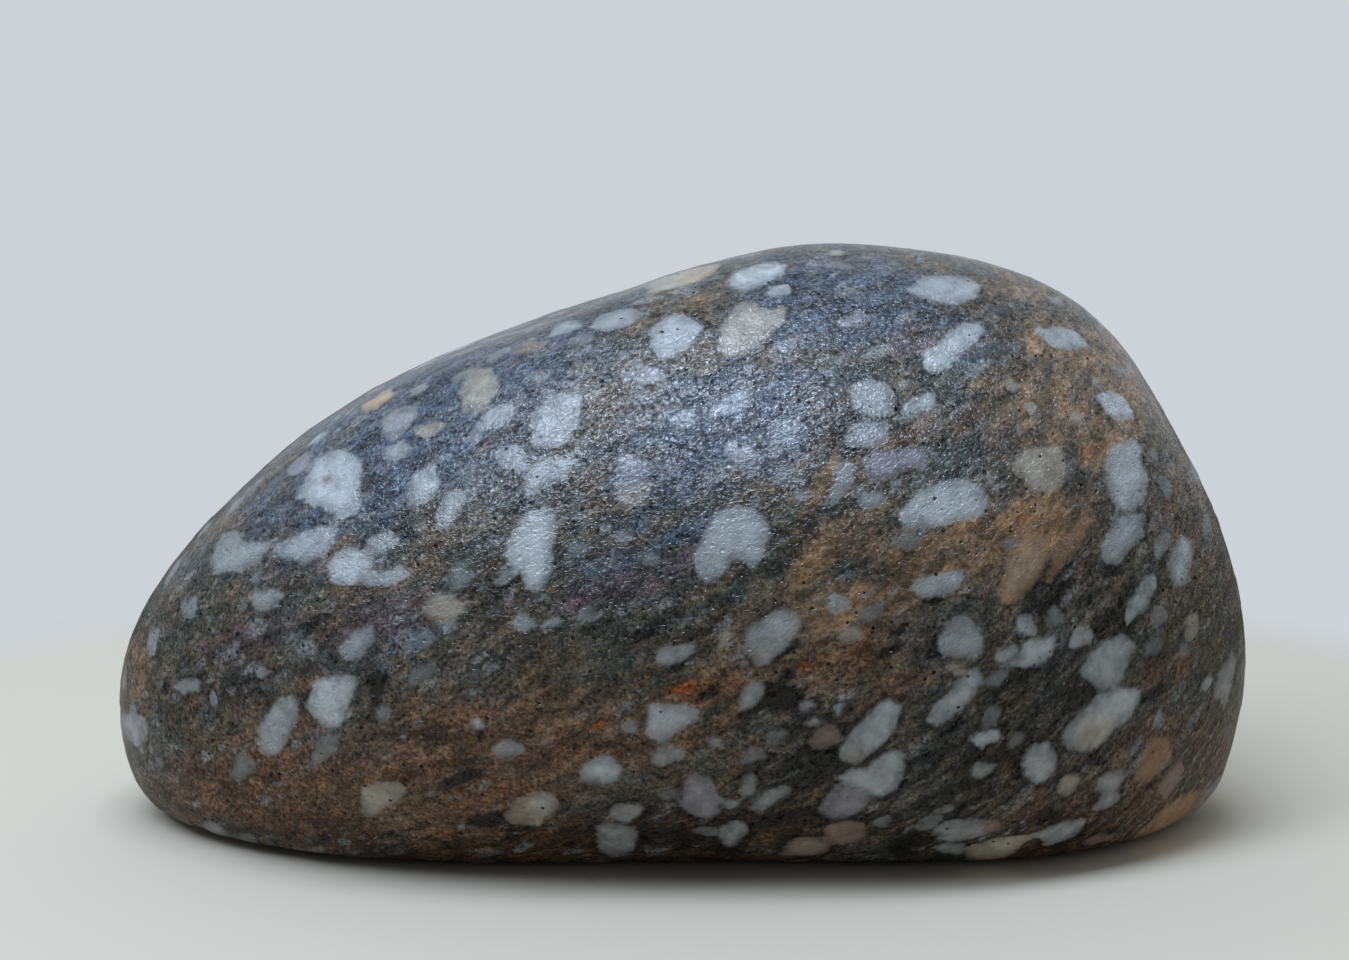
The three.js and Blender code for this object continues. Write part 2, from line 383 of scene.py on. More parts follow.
            (5, -56, 3.5, 2, 5), (12.5, -44, 3, 2, 20), (16.5, -41, 4, 1.5, 15), (-1.5, -50, 3, 2, 20),
            (50, -37.5, 3, 2, 20), (54, -41.5, 4, 2.5, 30), (40.5, -54.5, 4, 2, 50),
            (33.5, -54.5, 3, 2, 20), (43, -52, 2, 2, 0), (81, -26.5, 2.5, 2, 30), (84.5, -7.5, 5, 2, 75),
            (78, -1, 3.5, 3, 60), (76, 4.5, 3, 2, 70), (70.5, 17.5, 4, 2, -10), (67, 15.5, 2, 2, 0),
            (-15, 22, 4, 2.5, 15), (-28, 20, 4.6, 2.6, 15), (-21, 16.4, 2.6, 2, 0),
            (-34, 16.5, 3, 1.8, 20), (-24.5, 12.5, 2.5, 1.8, 0), (18.5, 1, 5, 3, 10), (26, 34, 4, 1.5, 0),
            (53, -10, 2, 2, 0),
        ],
    },
    "cream": {  # feldspar
        "tone": "#b6ae9e",
        "body": 0.92,
        "outlines": [
            [(-26.8, -53.2), (-25.6, -51.6), (-23.6, -50.2), (-21.2, -49.8), (-19.2, -50.2), (-18.2, -51.6),
             (-19.6, -53.2), (-21.6, -54.6), (-25.6, -54.8)],
            [(-33.2, 16.8), (-32, 17.6), (-29.3, 17.5), (-28.2, 16.2), (-28.1, 14), (-29.3, 12),
             (-31, 10.9), (-33.2, 11), (-33.8, 14)],
            [(7.3, 20.8), (7.7, 24.2), (9.4, 27.3), (12, 28.4), (14.6, 27), (17.5, 27.4), (17.4, 25.4),
             (13.2, 21.6), (10.6, 20.2), (8.2, 20)],
            [(53.6, 1.7), (55, 4), (57.5, 5.3), (60.6, 5.5), (62, 4), (61.4, 0.6), (59.6, -2.2),
             (57.4, -1.8), (55.7, 0.2)],
            [(-49.6, -50.8), (-49.2, -48.8), (-47.6, -48.2), (-43.6, -48.4), (-42.4, -49.4), (-44, -50.8),
             (-46.8, -52.4), (-48.4, -53.6), (-49.2, -52.6)],
            [(-40.2, -20.6), (-38.6, -18.4), (-36.4, -18), (-34.2, -19.2), (-33.4, -21), (-35.4, -22.8),
             (-38, -22.6)],
        ],
        "places": [
            (-47, 12.6, 7, 3.6, 35), (1, 32, 12.5, 4.5, 15), (-38.8, 8.3, 4.5, 2.5, 10),
            (26, 36, 3, 1.5, 0), (50.5, -59, 9.5, 5, 25), (27.5, -24.5, 3.5, 2, 20), (45, -30, 4, 1.5, 5),
            (-6.8, -1.8, 5.2, 4.4, 0), (56.5, 11.5, 2.5, 2, 0), (53.5, 15, 2.5, 2, 0),
            (64, 9.5, 3, 2.5, 0), (8, -25, 3, 2, 15), (-8, 20, 2.5, 1.5, 0), (62.5, -48.5, 4.5, 4, -60),
            (82, -23.5, 3.5, 3, 60),
        ],
    },
    "rusty": {  # iron-stained quartz
        "tone": "#ae8862",
        "body": 0.8,
        "outlines": [
            [(76, -41), (78.6, -41), (78.8, -43.2), (77, -46.5), (74.8, -48.3), (73.3, -47.6),
             (73.8, -44.6)],
            [(51.2, -17.9), (52.2, -14.6), (54.4, -10.1), (56.4, -8.5), (58.7, -8.8), (59.6, -10.1),
             (58.7, -13.3), (56.7, -16.9), (54.1, -19.5), (51.8, -19.5)],
            [(58.9, -15.9), (60.6, -11.4), (63.2, -8.1), (65.5, -5.2), (65.9, -6.8), (64.5, -10.1),
             (61.9, -13.3), (59.5, -16.3)],
        ],
        "places": [(77.5, -55, 13.5, 5.6, 36)],
    },
    "rose": {  # rose-brown quartzite
        "tone": "#9c877a",
        "body": 0.82,
        "outlines": [],
        "places": [
            (20.5, -58.5, 8.5, 4, 10), (79, -47.5, 5.5, 4, 30), (24, -41, 5, 3, 20), (67.5, -57, 5, 2, 10),
            (49.5, -55, 4, 2.5, 5), (27, -56.1, 7, 4.5, 0), (-22.5, 21.3, 5, 1.7, 20),
        ],
    },
}

# Clouds of another tone inside the pebbles, some of them painted light near the foot: across, up, length,
# width, tilt and strength.
pebbleClouds = {
    "#d3d8da": [  # whiter hearts
        (71.5, -35.8, 5, 4, 60, 0.7), (-11.5, -46.3, 4, 2.6, 0, 0.6), (-21, -51.2, 3.4, 2, 0, 0.6),
        (-55, -34, 5, 4, 0, 0.4), (16, -22.5, 5, 3, 30, 0.35), (-3, -38, 3, 4, 60, 0.4),
        (10, -7, 6, 3, 0, 0.3),
    ],
    "#d8cfba": [  # cream, and near the foot painted light that lifts pebbles lying in shade
        (50.5, -59, 9, 5, 25, 0.6), (67, -40, 6, 5, 30, 0.5), (55.5, -14, 12, 4.5, 57, 0.35),
        (20.5, -58.5, 6, 3, 0, 0.4),
    ],
    "#dcb284": [  # honey, and low on the right end painted light that lifts a pebble lying in shade
        (-47, 12.6, 7, 5, 35, 0.65), (4, 33, 7, 4, 20, 0.35), (77.5, -55, 13, 6, 36, 0.6),
    ],
    "#5f7484": [  # blue
        (-40.5, -25.5, 5, 5, 0, 0.6), (-42, -8, 3, 3, 0, 0.5), (18, 7, 8, 6, 20, 0.6),
        (10.7, 3.7, 7, 5, -35, 0.5), (8.8, 11.7, 9, 4, 25, 0.5), (1.5, 9.5, 5, 3.5, 15, 0.5),
        (17.5, 21.5, 4, 3.5, 40, 0.6), (-8, 20, 3.5, 2.5, 0, 0.6), (-6.8, -0.5, 6, 6, 0, 0.35),
    ],
    "#8e8f7c": [  # a greenish cast
        (-69.5, -11.5, 9, 6, 20, 0.3), (28, -43.5, 4.5, 3, 45, 0.6), (-15, -49, 4, 3, 60, 0.6),
        (13.5, -27.5, 5, 3, 30, 0.4), (10.5, 3.5, 5, 3, 0, 0.4), (-45, -50.5, 4, 4, 60, 0.3),
    ],
    "#6d5138": [  # rust soaking in
        (-55, 0, 1.6, 1.2, 0, 0.8), (60, 1, 5, 3, 70, 0.3), (65, -41.5, 5, 3, 40, 0.35),
        (46, -48.6, 5, 2, 20, 0.4), (-25.5, -53.8, 5, 3, 10, 0.4), (12, 21.5, 6, 3, 30, 0.25),
    ],
}

# Colour of the ground between the pebbles, with painted shade along the foot: across, up, length, width,
# tilt and strength.
stains = {
    "slate": [
        (-39, 8, 66, 22, 33, 1.0), (26, 28.5, 36, 16, 0, 0.9), (8, 8, 46, 18, 20, 0.85),
        (-5.5, -9.5, 30, 12, 20, 0.6), (-50, -27, 26, 8, 10, 0.5), (49, 20, 14, 10, 30, 0.5),
        (-55, -44, 20, 8, 5, 0.45), (47, -50, 16, 8, 30, 0.3),
    ],
    "plum": [
        (-47, -22, 22, 7, 15, 0.55), (4, -13, 25, 7, 15, 0.5), (-9, -17.5, 24, 6, 15, 0.65),
        (-31, -51, 16, 4, 20, 0.5), (36.5, 22, 14, 8, 10, 0.45), (23, 36.5, 20, 5, 0, 0.4),
        (52, 6.5, 12, 5, 20, 0.4), (58, -55.5, 20, 8, 10, 0.4), (-67.5, -25.5, 18, 6, 15, 0.65),
        (-20, -2, 14, 5, 15, 0.35), (-2, 13, 14, 4, 20, 0.35),
    ],
    # dark brown ground; its long bands along the foot are painted shade
    "umber": [
        (-66, -47, 28, 14, 10, 0.8), (-8, -57, 80, 8, 3, 0.9), (-22, -46, 44, 12, 20, 0.45),
        (62, -52, 30, 18, 30, 0.5), (84, -42, 10, 26, 82, 0.8), (-60, -54, 30, 8, -10, 0.8),
    ],
    "tan": [
        (45, -11, 34, 12, 25, 0.62), (60, 12, 24, 16, 0, 0.55), (68, 5, 8, 8, 0, 0.8),
        (57, -7, 16, 11, 20, 0.9), (61, 20.5, 16, 10, -30, 0.65), (26.5, -20.5, 26, 10, 15, 0.7),
        (34, -9.5, 14, 8, 20, 0.5), (23.5, 0, 14, 3, 62, 0.6), (33, 5, 15, 2.4, 30, 0.55),
        (22, -13, 14, 5, 50, 0.6), (4, 27.5, 7, 4, 15, 0.5), (-86, -30, 14, 6, 80, 0.4),
        (71, 15, 24, 11, -52, 0.62), (56, 30.5, 18, 6, -20, 0.45), (81, -4, 26, 9, 103, 0.4),
    ],
    "rust": [
        (26, -28.5, 24, 6.5, 10, 0.6), (4, -33.5, 18, 6, 15, 0.8), (-38, -43, 44, 14, 18, 0.62),
        (-58, -47.5, 34, 14, 6, 0.45), (-18, -42.5, 26, 9, 20, 0.5), (-7, -41.5, 14, 5, 20, 0.6),
        (-75.5, -49, 14, 9, -30, 0.45), (-62, -38, 26, 10, 10, 0.3), (32.5, -35, 18, 6, 30, 0.5),
        (79, -30, 10, 5, 30, 0.5), (72.5, -51, 14, 7, 30, 0.45), (60, -59, 22, 5, 10, 0.5),
        (-28, -35, 20, 6, 15, 0.35), (-32, -51, 34, 9, 12, 0.6), (-2, -41, 22, 7, 15, 0.5),
    ],
    "ochreSpot": [
        (1.6, -33, 4.5, 2.2, 10, 1), (4.5, -33.2, 4, 2, 10, 0.5), (20.8, -29.6, 2.8, 2.6, 0, 0.7),
        (-12, -39, 4.5, 1.8, 15, 0.6), (66, 4, 4, 3, 20, 0.5), (56, -5.5, 5, 3, 10, 0.5),
        (20, 2, 3, 2, 0, 0.4), (-46, -49, 3, 2, 0, 0.4),
    ],
    # black mica in lenses and wisps; the long bands along the foot are painted shade, and the broad patches
    # over the lower right are partly painted shade
    "biotiteAndShade": [
        (16.6, -34.4, 7.5, 5, -10, 1), (12, -37, 5, 1.3, 25, 0.9), (18.2, -26.7, 5.4, 1, 40, 1),
        (0.6, -29.7, 2.4, 1.6, 0, 1), (17.1, -23.7, 1.6, 0.7, -60, 1), (33, -46, 3.6, 0.9, 15, 1),
        (74.1, 3, 1.6, 0.9, 20, 1), (46.6, -25, 2, 1, 20, 1), (-42.7, -8.3, 4.5, 2.6, -20, 0.9),
        (5.5, -34, 6, 1.5, 25, 0.9), (-30, -54, 7, 3, 10, 0.9), (-35, -48, 10.5, 2, 22, 0.9),
        (-47.2, -32.8, 5.5, 3.4, 80, 1), (18, -31, 2.6, 2.8, 0, 0.9), (64.5, -34.5, 10, 3.5, -12, 1),
        (76, -34, 5.5, 2, 30, 1), (60.5, -29.5, 5.5, 2.4, 40, 0.85), (41, -44, 6, 2.2, 5, 0.9),
        (67, -44.5, 3.4, 2.6, 0, 0.9), (59.5, -53.5, 5, 3.2, 0, 0.9), (37, -57.5, 9, 5, 10, 0.9),
        (41.5, -27, 4, 2, 40, 1), (69.5, -14.5, 4, 2, 15, 1), (34.5, -27, 5.5, 1.8, 25, 0.9),
        (35, -24, 5, 3, 20, 0.7), (33, -13.5, 8, 5, 20, 0.35), (41, -19, 4, 1.6, 5, 1),
        (60.5, -17, 13, 8, 40, 0.6), (70.5, -21.5, 12, 7, 50, 0.6), (52, -41, 52, 24, 35, 0.6),
        (4, -55.5, 70, 12, 3, 0.62), (23, -44.5, 32, 18, 30, 0.62), (66, -54, 26, 10, 30, 0.5),
        (-45, -58, 40, 7, -6, 0.5), (-72, -32, 22, 10, 15, 0.45), (-8.5, -25.5, 42, 10, 15, 0.36),
        (28, 8, 11, 9, -30, 0.6), (-46, -1.2, 7, 7, 0, 0.45), (-13.5, 19, 20, 7, 25, 0.4),
        (24.5, 28.5, 24, 9, 0, 0.38), (4, 25.5, 4, 6, 0, 0.6), (49, 13, 9, 3.5, 10, 0.5),
        (-27.5, -18, 12, 5, 20, 0.45), (-57, -23, 16, 5, 15, 0.45),
    ],
}

surface = {
    "voxel": 0.85,  # mm between the points of the finished mesh
    "smoothing": 4,
    "pebbleRise": 0.09,  # mm that the harder quartz stands above the worn ground
    "riseOver": (-0.2, 0.7),  # mm out and in from a pebble's outline
    "unevenness": 0.07,  # mm
    "unevenLength": 3.4,  # mm
    "stillFoot": (0.3, 2.5),  # mm above the foot, over which the relief sets in
    "seed": 11,
    "pits": [  # across, up, radius and depth in mm, where a grain has dropped out
        (-74.5, -28.5, 1.2, 0.5), (-48, -33.5, 1.1, 0.45), (-45.5, -34, 1.1, 0.45), (60, 29.5, 1, 0.4),
        (70.5, 13.5, 1, 0.35), (9.5, -13.5, 1.4, 0.3), (-73, -57, 1.1, 0.4), (18, -31, 1, 0.3),
    ],
}

pebbleShape = {
    "corners": (5, 6, 6, 7),  # one of these counts
    "cornerShift": 0.3,  # share of the space between two corners
    "cornerReach": (0.76, 1.1),
    "crispness": 9,  # how sharply two sides meet
    "fullDepth": 0.2,  # share of the length, in and out from the middle, before a pebble narrows
    "narrowing": 0.3,  # share of the length over which it loses half its width
    "folds": [(3.4, 0.85), (1.3, 0.4)],  # size and reach in mm of the bends in the outlines
    "drawnShake": 0.45,  # share of those bends that a pebble with a drawn outline takes
    "growth": 0.25,  # mm
}

hiddenPebbles = {
    "count": 330,
    "tries": 8000,
    "shortest": 2.4,  # mm
    "usual": 3.2,  # mm longer than that on average
    "longest": 14,  # mm
    "slimness": (0.42, 0.88),  # width against length
    "gap": 0.4,  # mm between two of them
    "strayTilt": 0.35,
    "beddingNormal": (-0.45, 0.12, 0.88),
}

bedding = {
    "lift": 0.51,  # rise for each mm to the right
    "steepening": 0.006,  # how much faster it climbs at the right end
    "start": 20,  # mm right of the middle where it begins to steepen
    "lean": (0.4, 0.12),  # mm to the right for each mm up, and mm up for each mm to the back
    "turnBack": (-12, 25),  # mm towards the back, where the stains leave the front's pattern
    "turnSize": 34,  # mm
    "turnReach": (34, 22),  # mm across and up
    "stainFall": 0.8,  # how fast a stain fades past its own size
}


def worn(meshObject):
    smooth = meshObject.modifiers.new("rounding", "SUBSURF")
    smooth.levels = smooth.render_levels = 2
    even = meshObject.modifiers.new("even_points", "REMESH")
    even.mode = "VOXEL"
    even.voxel_size = surface["voxel"] * millimetre
    soften = meshObject.modifiers.new("soften", "SMOOTH")
    soften.factor = 0.5
    soften.iterations = surface["smoothing"]
    ready = meshObject.evaluated_get(bpy.context.evaluated_depsgraph_get())
    finished = bpy.data.meshes.new_from_object(ready)
    meshObject.modifiers.clear()
    meshObject.data = finished
    return finished


def gatherField(mesh):
    points = np.empty(len(mesh.vertices) * 3)
    mesh.vertices.foreach_get("co", points)
    points = points.reshape(-1, 3) / millimetre
    normals = np.empty(len(mesh.vertices) * 3)
    mesh.vertices.foreach_get("normal", normals)
    return points, normals.reshape(-1, 3)


def outlineRadius(angles, corners):
    total = np.zeros_like(angles)
    for facing, reach in corners:
        total += np.maximum(0, np.cos(angles - facing) / reach) ** pebbleShape["crispness"]
    return total ** (-1 / pebbleShape["crispness"])


def pebbleCorners(draw):
    count = draw.choice(pebbleShape["corners"])
    turn = draw.uniform(0, math.tau)
    shift = pebbleShape["cornerShift"]
    return [
        (
            turn + (i + draw.uniform(-shift, shift)) * math.tau / count,
            draw.uniform(*pebbleShape["cornerReach"]),
        )
        for i in range(count)
    ]


def outlineWarp(points):
    noise.seed_set(surface["seed"])  # without it the bends follow the clock
    warp = np.zeros_like(points)
    for size, reach in pebbleShape["folds"]:
        warp += reach * np.array([noise.noise_vector(Vector(p) / size) for p in points])
    return warp


def outlineDepth(x, y, corners):
    # distance in from the outline, less than nothing outside it
    nearest = np.full(len(x), 1e9)
    inside = np.zeros(len(x), bool)
    for (ax, ay), (bx, by) in zip(corners, corners[1:] + corners[:1]):
        along = ((x - ax) * (bx - ax) + (y - ay) * (by - ay)) / ((bx - ax) ** 2 + (by - ay) ** 2)
        along = np.clip(along, 0, 1)
        nearest = np.minimum(nearest, np.hypot(x - ax - along * (bx - ax), y - ay - along * (by - ay)))
        crossing = ax + (bx - ax) * (y - ay) / (by - ay or 1e-9)
        inside ^= ((ay > y) != (by > y)) & (x < crossing)
    return np.where(inside, nearest, -nearest)


def takePebble(field, near, depth, look):
    taken = depth > field["depth"][near]
    places = np.flatnonzero(near)[taken]
    field["depth"][places] = depth[taken]
    field["tone"][places] = look


def setPebble(field, centre, lookAlong, longAxis, length, width, look, draw):
    crossAxis = np.cross(lookAlong, longAxis)
    offset = field["points"] - centre
    near = np.einsum("ij,ij->i", offset, offset) < (length + 3) ** 2  # 3 mm take in its bends
    offset = offset[near] + field["warp"][near]
    along = offset @ longAxis
    across = offset @ crossAxis
    through = np.maximum(0, np.abs(offset @ lookAlong) - pebbleShape["fullDepth"] * length)
    share = np.hypot(along / (length / 2), across / (width / 2)) + 1e-6
    angles = np.arctan2(across / (width / 2), along / (length / 2))
    radius = outlineRadius(angles, pebbleCorners(draw))
    depth = (radius - share) * np.hypot(along, across) / share
    depth = depth - 0.5 * width * (through / (pebbleShape["narrowing"] * length)) ** 2
    takePebble(field, near, depth + pebbleShape["growth"], look)


def seenAxes(tilt, lookAlong, right, upward):
    angle = math.radians(tilt)
    longAxis = right * math.cos(angle) + upward * math.sin(angle)
    longAxis = longAxis - lookAlong * (longAxis @ lookAlong)
    return longAxis / np.linalg.norm(longAxis)


def pebbleLook(kind):
    return linearColour(kind["tone"])[:3] + (kind["body"],)


def setOutlinedPebbles(field):
    right, upward = field["viewer"][1:3]
    across, up = field["seen"]
    x = across + pebbleShape["drawnShake"] * field["warp"] @ right
    y = up + pebbleShape["drawnShake"] * field["warp"] @ upward
    near = field["facing"] > 0
    for kind in pebbles.values():
        look = pebbleLook(kind)
        for corners in kind["outlines"]:
            depth = outlineDepth(x[near], y[near], corners) + pebbleShape["growth"]
            takePebble(field, near, depth, look)


def setShowPebbles(field, tree, draw):
    eye, right, upward, forward = field["viewer"]
    reach = viewer["distance"] / millimetre
    for kind in pebbles.values():
        look = pebbleLook(kind)
        for across, up, length, width, tilt in kind["places"]:
            towards = forward * reach + right * across + upward * up
            lookAlong = towards / np.linalg.norm(towards)
            hit = tree.ray_cast(Vector(eye * millimetre), Vector(lookAlong))[0]
            if hit is None:
                hit = tree.find_nearest(Vector((eye + towards) * millimetre))[0]
            centre = np.array(hit) / millimetre
            scale = (centre - eye) @ forward / reach
            longAxis = seenAxes(tilt, lookAlong, right, upward)
            setPebble(field, centre, lookAlong, longAxis, length * scale, width * scale, look, draw)


def setHiddenPebbles(field, draw):
    kinds = list(pebbles.values())
    shares = [len(kind["outlines"]) + len(kind["places"]) for kind in kinds]
    candidates = np.flatnonzero(field["facing"] < 0.1)  # turned away from the viewer, or nearly
    stray = hiddenPebbles["strayTilt"]
    made = 0
    for attempt in range(hiddenPebbles["tries"]):
        if made == hiddenPebbles["count"]:
            break
        place = candidates[draw.randrange(len(candidates))]
        length = hiddenPebbles["shortest"] + draw.expovariate(1 / hiddenPebbles["usual"])
        length = min(hiddenPebbles["longest"], length)
        width = length * draw.uniform(*hiddenPebbles["slimness"])
        if field["depth"][place] > -0.5 * width - hiddenPebbles["gap"]:
            continue
        normal = field["normals"][place]
        longAxis = np.cross(hiddenPebbles["beddingNormal"], normal)
        longAxis += np.array([draw.uniform(-stray, stray) for axis in range(3)])
        longAxis -= normal * (longAxis @ normal)
        longAxis /= np.linalg.norm(longAxis)
        kind = draw.choices(kinds, shares)[0]
        look = pebbleLook(kind)
        setPebble(field, field["points"][place], normal, longAxis, length, width, look, draw)
        made += 1
    print("pebbles on the hidden sides:", made)


def seenPlaces(field):
    eye, right, upward, forward = field["viewer"]
    offset = field["points"] - eye
    away = offset @ forward
    reach = viewer["distance"] / millimetre
    across = offset @ right / away * reach
    return across, offset @ upward / away * reach


def stainPlaces(field):
    # the same places, folded over behind so that the back is no mirror of the front
    across, up = field["seen"]
    behind = smoothStep(field["points"][:, 1], *bedding["turnBack"])
    farOff = Vector((50, 0, 0))
    spots = [Vector(p) / bedding["turnSize"] for p in field["points"]]
    fold = np.array([(noise.noise(spot), noise.noise(spot + farOff)) for spot in spots])
    sideways, upwards = bedding["turnReach"]
    return across + sideways * behind * fold[:, 0], up + upwards * behind * fold[:, 1]


def stainStrength(places, patches):
    across, up = places
    total = np.zeros(len(across))
    for a, u, length, width, tilt, strength in patches:
        angle = math.radians(tilt)
        x = (across - a) * math.cos(angle) + (up - u) * math.sin(angle)
        y = (up - u) * math.cos(angle) - (across - a) * math.sin(angle)
        reach = (x / (length / 2)) ** 2 + (y / (width / 2)) ** 2
        total = np.maximum(total, strength * np.exp(-bedding["stainFall"] * reach * np.sqrt(reach)))
    return total


def beddingPlaces(points):
    x, y, z = points.T
    lift = bedding["lift"] * x
    lift = lift + bedding["steepening"] * np.maximum(0, x - bedding["start"]) ** 2
    alongLean, backLean = bedding["lean"]
    return np.stack((x + alongLean * z, y, z - lift + backLean * y), 1)


def reliefHeight(field):
    points = field["points"]
    height = surface["pebbleRise"] * smoothStep(field["depth"], *surface["riseOver"])
    height += surface["unevenness"] * np.array(
        [noise.fractal(Vector(p) / surface["unevenLength"], 1.0, 2.0, 2) for p in points]
    )
    across, up = field["seen"]
    for a, u, radius, depth in surface["pits"]:
        near = np.hypot(across - a, up - u)
        height -= depth * (1 - smoothStep(near, 0.2 * radius, radius)) * (field["facing"] > 0)
    return height * smoothStep(points[:, 2], *surface["stillFoot"])


def storeField(mesh, name, values, kind="FLOAT"):
    made = mesh.attributes.new(name, kind, "POINT")
    key = {"FLOAT": "value", "FLOAT_VECTOR": "vector", "FLOAT_COLOR": "color"}[kind]
    made.data.foreach_set(key, np.ascontiguousarray(values, np.float32).ravel())


def makeStone():
    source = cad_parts["stone"]
    bm = bmesh.new()
    bm.from_mesh(source.data)
    bmesh.ops.remove_doubles(bm, verts=bm.verts, dist=0.001 * millimetre)
    mesh = bpy.data.meshes.new("viewing_stone")
    bm.to_mesh(mesh)
    bm.free()
    stone = bpy.data.objects.new("viewing_stone", mesh)
    bpy.context.scene.collection.objects.link(stone)
    mesh = worn(stone)
    mesh.name = "viewing_stone"
    points, normals = gatherField(mesh)
    eye, right, upward, forward = (np.array(v) for v in viewerFrame())
    eye = eye / millimetre
    sight = eye - points
    field = {
        "points": points,
        "normals": normals,
        "viewer": (eye, right, upward, forward),
        "facing": np.einsum("ij,ij->i", normals, sight) / np.linalg.norm(sight, axis=1),
        "warp": outlineWarp(points),
        "depth": np.full(len(points), -6.0),  # mm, out in the open ground
        "tone": np.full((len(points), 4), 0.4),
    }
    draw = random.Random(surface["seed"])
    bm = bmesh.new()
    bm.from_mesh(mesh)
    field["seen"] = seenPlaces(field)
    setOutlinedPebbles(field)
    setShowPebbles(field, BVHTree.FromBMesh(bm), draw)
    bm.free()
    setHiddenPebbles(field, draw)
    for tone, clouds in pebbleClouds.items():
        share = stainStrength(field["seen"], clouds)[:, None] * (field["facing"] > 0)[:, None]
        field["tone"][:, :3] += share * (np.array(linearColour(tone)[:3]) - field["tone"][:, :3])
    raised = points + normals * reliefHeight(field)[:, None]
    raised[points[:, 2] < 0.05, 2] = 0  # the foot stays flat
    raised = raised * millimetre
    lowest, highest = raised.min(0), raised.max(0)
    boxLow, boxHigh = (np.array(corner) for corner in cadBox)
    raised = boxLow + (raised - lowest) * (boxHigh - boxLow) / (highest - lowest)
    mesh.vertices.foreach_set("co", raised.ravel())
    storeField(mesh, "bedding", beddingPlaces(points), "FLOAT_VECTOR")
    storeField(mesh, "pebbleDepth", field["depth"])
    storeField(mesh, "pebbleTone", field["tone"], "FLOAT_COLOR")
    folded = stainPlaces(field)
    for name, patches in stains.items():
        storeField(mesh, name, stainStrength(folded, patches))
    mesh.polygons.foreach_set("use_smooth", np.ones(len(mesh.polygons), bool))
    mesh.update()
    mesh.materials.clear()
    mesh.materials.append(oiledConglomerate())
    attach(stone, "root")
    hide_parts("stone")
    print("stone surface made:", len(mesh.vertices), "points,", 2 * len(mesh.polygons), "triangles")


ground = {
    "spaces": {  # how far a pattern is squeezed along, across and through the beds: less draws it out
        "drawnOut": (0.55, 0.8, 1.2),
        "wispy": (0.3, 0.6, 1.3),
        "sheared": (0.7, 0.85, 1.15),
    },
    "patterns": {  # the space each cloud pattern lies in, its size in mm, detail and roughness
        "streaks": ("drawnOut", 6.0, 4, 0.6),
        "gathering": ("drawnOut", 10.0, 2, 0.5),
        "slate": ("drawnOut", 4.2, 4, 0.62),
        "plum": ("drawnOut", 3.4, 4, 0.62),
        "tan": ("drawnOut", 4.0, 4, 0.62),
        "rust": ("drawnOut", 3.8, 4, 0.62),
        "ochreSpot": ("drawnOut", 1.6, 3, 0.6),
        "shade": ("drawnOut", 3.4, 3, 0.6),
        "patches": ("drawnOut", 1.5, 3, 0.65),
        "umber": ("drawnOut", 4.4, 4, 0.62),
        "grain": ("places", 0.55, 3, 0.75),
        "wisps": ("wispy", 2.4, 4, 0.66),
        "edge": ("places", 1.5, 4, 0.68),
        "milk": ("places", 2.6, 4, 0.65),
        "fine": ("places", 0.5, 2, 0.6),
        "relief": ("sheared", 0.62, 2, 0.6),
        "ripple": ("drawnOut", 1.6, 2, 0.5),
    },
    "shaking": (2.2, 2.6),  # size and reach in mm of the small folds in the bedding
    "olive": "#4b504a",
    "brown": "#655744",
    "stains": {  # tone, how softly it ends, how much its own cloud pattern breaks it
        "slate": ("#4a5663", 0.36, 1.8),
        "plum": ("#574c55", 0.36, 1.8),
        # dark brown, which also lays the painted shade along the foot
        "umber": ("#574232", 0.5, 1.3),
        "tan": ("#a0805f", 0.5, 1.5),
        "rust": ("#7b593f", 0.6, 1.5),
        "ochreSpot": ("#98552a", 0.3, 1.2),
    },
    "levels": {  # a pattern's low and high, and the values there
        "streaks": (0.42, 0.66, 0.0, 1.0),  # from olive to brown
        "shade": (0.36, 0.64, 0.5, 1.3),  # brightness
        "patches": (0.34, 0.66, 0.55, 1.42),
        "gathering": (0.36, 0.64, 0.35, 1.3),  # plenty of pale fragments
        "edge": (0.0, 1.0, -0.8, 0.8),  # mm that a pebble's edge is shifted
        "wisps": (0.0, 1.0, -0.76, 0.94),  # black mica
        "grain": (0.37, 0.63, 0.46, 1.95),  # brightness, of the black mica too
        "milk": (0.32, 0.68, 0.68, 1.14),  # brightness inside the pebbles
        "fine": (0.0, 1.0, 0.86, 1.14),
    },
    "tanEvenness": 0.75,  # how much less the grain shows in the tan beds
    "evenShade": 1.1,  # brightness there
    "fragments": [  # spacing in mm, share of the places left empty, largest reach, strength
        (1.0, 0.5, 0.45, 0.5), (1.9, 0.3, 0.5, 0.6), (3.4, 0.35, 0.52, 0.65),
    ],
    "fewerFragments": {"rust": 0.9, "tan": 0.6},  # share of them that these beds lose
    "fragmentTones": [(0.0, "#5f625f"), (0.4, "#797c7b"), (0.75, "#929493"), (1.0, "#877b6a")],
    "biotiteAndShade": "#0f1012",
    "flakeSpacing": 1.2,  # mm
    "flakesOnPebbles": 0.14,  # share of the flakes that also lie on the pebbles
    "roughness": 0.09,
    "pits": (0.39, 0.51, 0.9),  # height of the grain where they are open and closed, and their share
    # how far the pits' colour is darkened: painted shade in the hollows
    "pitShade": 0.75,
    "rimPits": 0.25,  # share of them still seen where the surface turns away
    "reliefHeight": 0.28,  # mm
    "rippleShare": 0.6,  # height of the ripples against the grain
}


